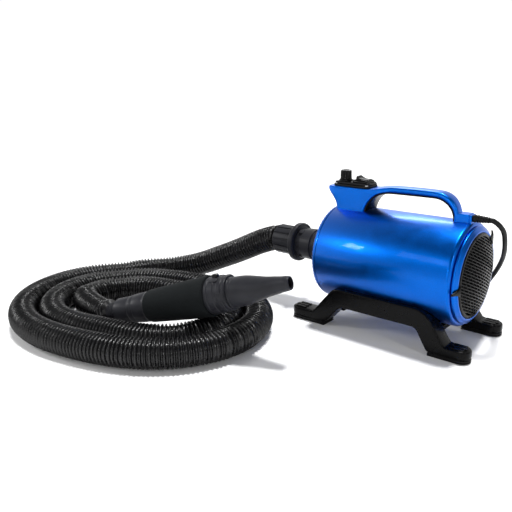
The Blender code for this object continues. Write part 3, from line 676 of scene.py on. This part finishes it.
# ---- outlet port and hose collar ----
def build_outlet():
    """The outlet with its bayonet lugs, and the panelled collar that holds the hose."""
    centre = (0, 0, AXIS_Z)
    face = REAR_X - 2 * GAP
    bm = bmesh.new()
    turn_into(bm, [(FLANGE_X - 0.0060, PORT_BORE), (FLANGE_X - 0.0060, 0.0240),
                   (FLANGE_X + GAP, 0.0240), (FLANGE_X + GAP, 0.0262), (FLANGE_X + 0.0120, 0.0266),
                   (FLANGE_X + 0.0126, 0.0290), (FLANGE_X + 0.0340, 0.0298),
                   (FLANGE_X + 0.0346, 0.0272), (face - 0.0130, 0.0276), (face - 0.0120, 0.0300),
                   (face - 0.0040, 0.0306), (face - 0.0030, 0.0318), (face, 0.0320),
                   (face, PORT_BORE + 0.0017), (face + 0.0060, PORT_BORE + 0.0017),
                   (face + 0.0060, PORT_BORE)], centre, sides=96)
    for first in (-140, -20, 100):
        bent_block(bm, face - 0.0290, face - 0.0120, 0.0268, 0.0304, first, first + 26, centre)
        bent_block(bm, FLANGE_X + 0.0030, FLANGE_X + 0.0130, 0.0255, 0.0298, first + 40,
                   first + 58, centre)
    softened(piece("outlet_cone", bm, "grey_plastic", stands_for=["outlet_port"]), 0.0006, 2)

    bm = bmesh.new()
    end = SLEEVE_END_X
    turn_into(bm, [(FLANGE_X, 0.0244), (FLANGE_X, 0.0290), (FLANGE_X - 0.0010, 0.0318),
                   (FLANGE_X, 0.0345), (FLANGE_X - 0.0006, 0.0358), (FLANGE_X - 0.0022, 0.0369),
                   (FLANGE_X - 0.0090, 0.0369), (FLANGE_X - 0.0112, 0.0350),
                   (FLANGE_X - 0.0125, 0.0312), (FLANGE_X - 0.0150, 0.0288),
                   (FLANGE_X - 0.0170, 0.0262), (end + 0.0030, 0.0258), (end + 0.0012, 0.0270),
                   (end, 0.0262), (end, PORT_BORE), (FLANGE_X - 0.0063, PORT_BORE),
                   (FLANGE_X - 0.0063, 0.0244)], centre, sides=128)
    panels, seam = 14, 3.0
    for i in range(panels):
        first = 360 * i / panels
        bent_block(bm, end + 0.0018, FLANGE_X - 0.0150, 0.0255, 0.0281, first + seam,
                   first + 360 / panels - seam, centre, steps=5)
    for first in (20, 140, 260):
        bent_block(bm, FLANGE_X - 0.0030, FLANGE_X + GAP * 0.5, 0.0300, 0.0338, first, first + 34,
                   centre)
    softened(piece("collar_body", bm, "grey_plastic", "collar", ["hose_collar"]), 0.0006, 2)


# ---- rails and feet ----
RAIL_SECTIONS = [  # low point, high point: (x, z)
    ((-0.1757, 0.0085), (-0.1757, 0.0185)), ((-0.1740, 0.0070), (-0.1735, 0.0208)),
    ((-0.1660, 0.0063), (-0.1650, 0.0216)), ((-0.1450, 0.0063), (-0.1450, 0.0216)),
    ((-0.1150, 0.0063), (-0.1320, 0.0218)), ((-0.1020, 0.0066), (-0.1250, 0.0248)),
    ((-0.0905, 0.0180), (-0.1030, 0.0510)), ((-0.0790, 0.0320), (-0.0870, 0.0690)),
    ((-0.0690, 0.0404), (-0.0750, 0.0730)), ((-0.0560, 0.0410), (-0.0560, 0.0730)),
    ((0.0000, 0.0410), (0.0000, 0.0730)), ((0.0540, 0.0410), (0.0560, 0.0730)),
    ((0.0655, 0.0405), (0.0700, 0.0728)), ((0.0722, 0.0366), (0.0805, 0.0696)),
    ((0.0785, 0.0265), (0.0920, 0.0608)), ((0.0850, 0.0152), (0.1050, 0.0415)),
    ((0.0910, 0.0070), (0.1165, 0.0244)), ((0.1000, 0.0063), (0.1220, 0.0206)),
    ((0.1300, 0.0063), (0.1340, 0.0206)), ((0.1480, 0.0063), (0.1480, 0.0206)),
    ((0.1545, 0.0070), (0.1550, 0.0196)), ((0.1567, 0.0085), (0.1567, 0.0175))]


def rail_half(x):
    """Half the rail's width seen from above: round at both tips."""
    r = RAIL_W / 2
    short = max(RAIL_TAIL_X + r - x, x - (RAIL_NOSE_X - r), 0.0)
    return max(sqrt(max(r * r - short * short, 0.0)), 0.002)


def build_stand():
    """Two skid rails with ribbed toes, and a rubber sole under each end of both."""
    dense = eased([(*low, *high) for low, high in RAIL_SECTIONS], 4)
    for side, label in ((-1, "front"), (1, "back")):
        place = Matrix.Translation(DRYER + Vector((0, side * TRACK, 0)))
        bm = bmesh.new()
        loft(bm, [(p[:2], p[2:]) for p in dense], rail_half, 0.0030)
        for top, tip, way in ((0.0216, RAIL_TAIL_X, 1), (0.0206, RAIL_NOSE_X, -1)):
            for lane in (-1, 0, 1):
                near, far = tip + way * (0.0060 + 0.0030 * abs(lane)), tip + way * 0.0300
                low_x, high_x = min(near, far), max(near, far)
                block_into(bm, (low_x, lane * 0.0082 - 0.0026, top - 0.0020),
                           (high_x, lane * 0.0082 + 0.0026, top + 0.0018))
        softened(piece("skid_" + label, bm, "black_plastic", "blower", ["rail_" + label], place,
                       50), 0.0006, 2, 50)
        for end, tip, heel, way in (("nose", RAIL_NOSE_X, 0.0930, 1),
                                    ("tail", RAIL_TAIL_X, -0.1020, -1)):
            bm = bmesh.new()
            layers = [  # height, inset
                      (0.0, 0.0010), (0.0006, 0.0), (0.0022, 0.0), (0.0026, 0.0011),
                      (0.0032, 0.0011), (0.0036, 0.0), (0.0052, 0.0), (0.0056, 0.0008),
                      (0.0062, 0.0008)]
            rings = []
            for z, inset in layers:
                r = RAIL_W / 2 - inset
                mid = tip - way * RAIL_W / 2
                cap = arc((mid, 0), r, -90, 90, 24) if way > 0 else arc((mid, 0), r, 90, 270, 24)
                back = heel + way * inset
                outline = cap + ([(back, r), (back, -r)] if way > 0 else [(back, -r), (back, r)])
                rings.append([bm.verts.new((x, y, z)) for x, y in outline])
            skin(bm, rings)
            node = "foot_pad_%s_%s" % (label, end)
            piece("sole_%s_%s" % (label, end), bm, "rubber", stands_for=[node], place=place)


# ---- hose ----
def route_length(points):
    return sum((b - a).length for a, b in zip(points, points[1:]))


def smooth_route(points, spacing):
    """A smooth curve through the points, evenly spaced between its two straight ends."""
    points = [Vector(p) for p in points]
    fine = []
    for before, a, b, after in zip(points, points[1:], points[2:], points[3:]):
        reach = (b - a).length / 3
        out = (b - before).normalized() * reach
        back = (after - a).normalized() * reach
        fine += interpolate_bezier(a, a + out, b - back, b, 17)[:-1]
    return [points[0], *evened([*fine, points[-2]], spacing), points[-1]]


def evened(fine, spacing):
    """The same line with its points the same distance apart, as near to the spacing as fits."""
    total = route_length(fine)
    step = total / round(total / spacing)
    even, walked, target = [fine[0]], 0.0, step
    for a, b in zip(fine, fine[1:]):
        length = (b - a).length
        while walked + length >= target and target < total - step / 2:
            even.append(a.lerp(b, (target - walked) / length))
            target += step
        walked += length
    return even + [fine[-1]]


def coil_point(degrees):
    """A point of the hose's oval coil, which tightens as it goes round."""
    turn = radians(degrees)
    radius = COIL_R * (1 + COIL_OVAL * cos(2 * (turn - COIL_LONG_AXIS)))
    radius -= COIL_PITCH * (turn - pi / 2) / (2 * pi)
    return Vector((COIL_MID.x + radius * cos(turn), COIL_MID.y + radius * sin(turn),
                   HOSE_D / 2 + GAP))


def tube_into(bm, points, radii, sides):
    """A closed tube through the points, turned as little as it can be along the way."""
    ways = [(points[min(i + 1, len(points) - 1)] - points[max(i - 1, 0)]).normalized()
            for i in range(len(points))]
    side = ways[0].cross(Vector((0, 1, 0))).normalized()
    rings = []
    for point, way, radius in zip(points, ways, radii):
        side = (side - way * side.dot(way)).normalized()
        up = way.cross(side)
        rings.append([bm.verts.new(point + (side * cos(2 * pi * i / sides)
                                            + up * sin(2 * pi * i / sides)) * radius)
                      for i in range(sides)])
    skin(bm, rings)


def build_hose():
    """The corrugated hose: down from the collar, round the coil and up into the wand."""
    drop = [(SLEEVE_END_X - GAP, 0, AXIS_Z), (-0.2720, 0, AXIS_Z), (-0.3150, -0.0020, 0.1020),
            (-0.3640, -0.0090, 0.0780), (-0.4130, -0.0200, 0.0560), (-0.4610, -0.0370, 0.0360),
            (-0.5050, -0.0660, 0.0265), (-0.5410, -0.1070, 0.0254)]
    turns = [coil_point(degrees) for degrees in COIL_DEGREES]
    along = (WAND_TIP - WAND_START).normalized()
    lead_in = [WAND_START - along * 0.0140, WAND_START + along * 0.0010]
    route = smooth_route([*drop, *turns, *lead_in], 0.0100)
    ridge = (1.0, 0.80, 0.25, 0.0, 0.0, 0.0, 0.25, 0.80)
    pitch, deep = 0.0066, 0.0044
    fine = evened(route, pitch / len(ridge))
    radii = [HOSE_D / 2 - deep + deep * ridge[i % len(ridge)] for i in range(len(fine))]
    bm = bmesh.new()
    tube_into(bm, fine, radii, 40)
    hose = piece("air_hose_tube", bm, "hose_plastic", stands_for=["air_hose"], smooth=180)


# ---- mains lead ----
def lead_seat(turn, outer, level):
    """Radius and height of one turn of the wound lead, lane by lane and layer on layer."""
    layer, lane = divmod(min(turn, LEAD_TURNS - 1), LEAD_LANES)
    lane = lane if layer % 2 == 0 else LEAD_LANES - 1 - lane
    return outer - lane * LEAD_D, level + layer * LEAD_D * 0.985


def lead_winding(outer, level):
    """The wound lead, which steps over to its next seat in the last quarter of each turn."""
    winding = []
    steps, first, steady = 24, -90.0, 0.75
    for step in range(LEAD_TURNS * steps + 1):
        turn, share = divmod(step, steps)
        blend = max(0.0, share / steps - steady) / (1 - steady)
        blend = blend * blend * (3 - 2 * blend)
        (r0, z0), (r1, z1) = lead_seat(turn, outer, level), lead_seat(turn + 1, outer, level)
        r, z = r0 + (r1 - r0) * blend, z0 + (z1 - z0) * blend
        angle = radians(first - step * 360 / steps)
        winding.append((LEAD_COIL_MID.x + r * cos(angle), LEAD_COIL_MID.y + r * sin(angle), z))
    return winding


def build_lead():
    """The ribbed strain relief, and the mains lead down to its wound coil."""
    bm = bmesh.new()
    rows = [(0.0, 0.0056), (0.0006, 0.0062), (0.0034, 0.0062), (0.0040, 0.0054)]
    for i in range(5):
        x = 0.0055 + i * 0.0040
        r = 0.0060 - i * 0.00032
        rows += [(x, r - 0.0012), (x + 0.0004, r - 0.0001), (x + 0.0012, r), (x + 0.0020, r),
                 (x + 0.0027, r - 0.0001), (x + 0.0031, r - 0.0012)]
    rows += [(0.0259, 0.0044)]
    turn_into(bm, solid(*rows), (BOSS_X + GAP, 0, CORD_Z), sides=40)
    relief = piece("cord_relief", bm, "rubber", stands_for=["strain_relief"], smooth=40)

    outer = LEAD_COIL_R + LEAD_D
    run_y = LEAD_COIL_MID.y - outer
    level = LEAD_D / 2 + GAP
    down = [(BOSS_X + 0.0266, 0, CORD_Z), (BOSS_X + 0.0300, 0, CORD_Z),
            (0.1550, 0.0060, 0.2030), (0.1590, 0.0190, 0.1900), (0.1570, 0.0350, 0.1710),
            (0.1510, 0.0560, 0.1500), (0.1420, 0.0770, 0.1280), (0.1290, 0.0940, 0.1030),
            (0.1100, 0.1080, 0.0720), (0.0880, 0.1165, 0.0380), (0.0620, 0.1210, 0.0140),
            (0.0330, 0.1225, 0.0055), (0.0040, run_y, level), (-0.0400, run_y, level)]
    route = smooth_route([*down, *lead_winding(outer, level)], LEAD_D)
    curve = bpy.data.curves.new("mains_cord", "CURVE")
    curve.dimensions = "3D"
    curve.bevel_depth, curve.bevel_resolution = LEAD_D / 2, 5
    curve.use_fill_caps = True
    spline = curve.splines.new("POLY")
    spline.points.add(len(route) - 1)
    for spot, p in zip(spline.points, route):
        spot.co = (*p, 1.0)
    lead = bpy.data.objects.new("mains_cord", curve)
    bpy.context.scene.collection.objects.link(lead)
    lead.location = DRYER
    curve.materials.append(MATERIALS["rubber"])
    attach(lead, "blower")
    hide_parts("mains_lead", "mains_coil")


# ---- wand ----
def build_wand():
    """Cuff, inner tube, foam grip, latch collar and nozzle, laid out along the wand's axis."""
    along = (WAND_TIP - WAND_START).normalized()
    tip = (WAND_TIP - WAND_START).length
    side = Vector((0, 0, 1)).cross(along).normalized()
    up = along.cross(side)
    place = Matrix.Translation(DRYER + WAND_START) @ Matrix((along, side, up)).transposed().to_4x4()

    def made(name, profile, slot, body, node, extra=None, width=0.0004):
        bm = bmesh.new()
        turn_into(bm, profile, sides=96)
        if extra:
            extra(bm)
        return softened(piece(name, bm, slot, body, [node] if node else (), place), width, 2, 40)

    ribs = []
    for i in range(6):
        x = 0.0014 + i * 0.0036
        ribs += [(x, 0.0158), (x + 0.0008, 0.0175), (x + 0.0017, 0.0176), (x + 0.0026, 0.0158)]
    cuff = [(0.0013, 0.0150), *ribs, (0.0224, 0.0160), (0.0229, 0.0219), (0.0238, 0.0226),
            (0.0470, 0.0231), (0.0480, 0.0226), (0.0520, 0.0226), (0.0528, 0.0234),
            (0.0545, 0.0240), (0.0590, 0.0243), (0.0600, 0.0239), (0.0640, 0.0240),
            (0.0650, 0.0248), (0.0840, 0.0259), (0.0850, 0.0254), (0.0880, 0.0255),
            (0.0890, 0.0261), (0.0900, 0.0261), (0.0905, 0.0257), (0.0905, 0.0200),
            (0.0300, 0.0200), (0.0300, 0.0150)]
    made("wand_cuff", cuff, "grey_plastic", "blower", "hose_cuff")
    made("wand_tube", [(0.0908, 0.0180), (0.0908, 0.0200), (0.2310, 0.0200), (0.2310, 0.0180)],
         "grey_plastic", "blower", "grip_tube")
    sleeve = [(0.0908, 0.0203), (0.0908, 0.0262), (0.0914, 0.0271), (0.0932, 0.0277),
              (0.1300, 0.0299), (0.1700, 0.0321), (0.2070, 0.0337), (0.2105, 0.0336),
              (0.2120, 0.0330), (0.2125, 0.0318), (0.2125, 0.0203)]
    made("foam_grip", sleeve, "foam", "blower", "grip_sleeve")

    def keeper(bm):
        for first in (-34, 18):
            bent_block(bm, 0.2210, 0.2370, 0.0290, 0.0311, first, first + 14, steps=3)
        for first in (70, 190, 310):
            bent_block(bm, 0.2370, 0.2490, 0.0275, 0.0299, first, first + 30, steps=4)

    collar = [(0.2128, 0.0203), (0.2128, 0.0294), (0.2134, 0.0301), (0.2160, 0.0306),
              (0.2184, 0.0306), (0.2190, 0.0297), (0.2206, 0.0296), (0.2212, 0.0304),
              (0.2300, 0.0303), (0.2307, 0.0293), (0.2362, 0.0291), (0.2369, 0.0297),
              (0.2430, 0.0291), (0.2436, 0.0280), (0.2456, 0.0278), (0.2462, 0.0287),
              (0.2494, 0.0284), (0.2504, 0.0277), (0.2504, 0.0250), (0.2313, 0.0250),
              (0.2313, 0.0203)]
    made("latch_ring", collar, "grey_plastic", "blower", "latch_collar", keeper)

    nozzle = [(0.2316, 0.0205), (0.2316, 0.0247), (0.2507, 0.0247), (0.2512, 0.0251),
              (0.2527, 0.0251), (0.2532, 0.0245), (0.2580, 0.0246), (0.2584, 0.0242),
              (0.2680, 0.0242), (0.2760, 0.0236), (0.2836, 0.0224), (0.2900, 0.0211),
              (0.3118, 0.0161), (tip - 0.0100, 0.0119), (tip - 0.0092, 0.0122),
              (tip - 0.0012, 0.0109), (tip, 0.0102), (tip, 0.0088), (tip - 0.0030, 0.0091),
              (0.2810, 0.0198)]
    made("nozzle_cone", nozzle, "grey_plastic", "nozzle", "nozzle")


# ---- what stays of the CAD ----
def finish_cad_nodes():
    """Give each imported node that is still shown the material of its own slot."""
    slots = {row["node"]: row["material_slot"] for row in frame["record"]["subparts"]}
    for name, obj in frame["nodes"].items():
        if obj.hide_render:
            continue
        obj.data.materials.clear()
        obj.data.materials.append(MATERIALS[slots[name]])


# ---- studio ----
FLOOR_REACH = 60.0
BACKDROP_WAY = (-0.62, 0.78, 0.0)
LAMPS = [  # name, where it stands, what it is aimed at, its width and height, watts
    ("softbox", (-0.50, -1.60, 1.20), (0.1, 0.1, 0.12), (1.20, 0.40), 5),
    ("streak", (0.55, -1.60, 0.62), (0.1, 0.0, 0.10), (0.34, 0.03), 4),
    ("left", (-1.40, -0.90, 0.80), (-0.2, -0.1, 0.05), (0.25, 0.25), 7),
    ("back", (-0.60, 1.30, 1.10), (-0.1, 0.0, 0.10), (0.50, 0.25), 7),
    ("edge", (1.50, -0.35, 0.75), (0.2, 0.1, 0.12), (0.08, 0.40), 3)]


def area_light(name, spot, target, size, watts):
    data = bpy.data.lights.new(name, "AREA")
    data.shape = "RECTANGLE"
    data.size, data.size_y = size
    data.energy = watts
    obj = bpy.data.objects.new(name, data)
    bpy.context.scene.collection.objects.link(obj)
    spot, target = Vector(spot), Vector(target)
    obj.location = spot
    obj.rotation_euler = (target - spot).to_track_quat("-Z", "Y").to_euler()


def build_studio():
    """A white floor, the sky, a soft sun overhead and the lamps."""
    bm = bmesh.new()
    bmesh.ops.create_grid(bm, x_segments=2, y_segments=2, size=FLOOR_REACH)
    mesh = bpy.data.meshes.new("floor")
    bm.to_mesh(mesh)
    bm.free()
    floor = bpy.data.objects.new("floor", mesh)
    floor.data.materials.append(pale_floor())
    bpy.context.scene.collection.objects.link(floor)
    build_sky()
    sun = bpy.data.lights.new("overhead", "SUN")
    sun.energy, sun.angle = 3.3, radians(7)
    holder = bpy.data.objects.new("overhead", sun)
    bpy.context.scene.collection.objects.link(holder)
    holder.rotation_euler = (radians(-11), radians(-3), 0)
    for lamp in LAMPS:
        area_light(*lamp)


def build_sky():
    """White behind the object and up to half height there, darker overhead and in front, so
    that the glossy pieces keep their shape."""
    world = bpy.data.worlds.new("studio")
    world.use_nodes = True
    tree = world.node_tree
    way = tree.nodes.new("ShaderNodeTexCoord").outputs["Generated"]

    def node(kind, *links, **settings):
        made = tree.nodes.new(kind)
        for key, value in settings.items():
            setattr(made, key, value)
        for socket, source in links:
            tree.links.new(source, made.inputs[socket])
        return made

    def faded(source, start, end, low, high):
        """The source's start..end laid onto low..high, and held at both ends."""
        span = node("ShaderNodeMapRange", ("Value", source))
        for key, value in zip(("From Min", "From Max", "To Min", "To Max"),
                              (start, end, low, high)):
            span.inputs[key].default_value = value
        return span.outputs[0]

    height = node("ShaderNodeSeparateXYZ", (0, way)).outputs["Z"]
    behind = node("ShaderNodeVectorMath", (0, way), operation="DOT_PRODUCT")
    behind.inputs[1].default_value = BACKDROP_WAY
    above = faded(height, 0.35, 0.80, 1.0, 0.30)
    in_front = faded(behind.outputs["Value"], 0.35, -0.15, 0.0, 0.72)
    lifted = faded(height, 0.0, 0.24, 0.0, 1.0)
    dimmed = node("ShaderNodeMath", (0, in_front), (1, lifted), operation="MULTIPLY")
    kept = node("ShaderNodeMath", (1, dimmed.outputs[0]), operation="SUBTRACT")
    kept.inputs[0].default_value = 1.0
    light = node("ShaderNodeMath", (0, above), (1, kept.outputs[0]), operation="MULTIPLY")
    tree.links.new(light.outputs[0], tree.nodes["Background"].inputs["Strength"])
    tree.nodes["Background"].inputs["Color"].default_value = (1.02, 1.02, 1.02, 1.0)
    bpy.context.scene.world = world


build_camera()
build_hose()
build_lead()
build_drum()
build_grille()
build_handle()
build_controls()
build_outlet()
build_stand()
build_wand()
finish_cad_nodes()
build_studio()
bpy.context.scene.view_settings.view_transform = "Standard"
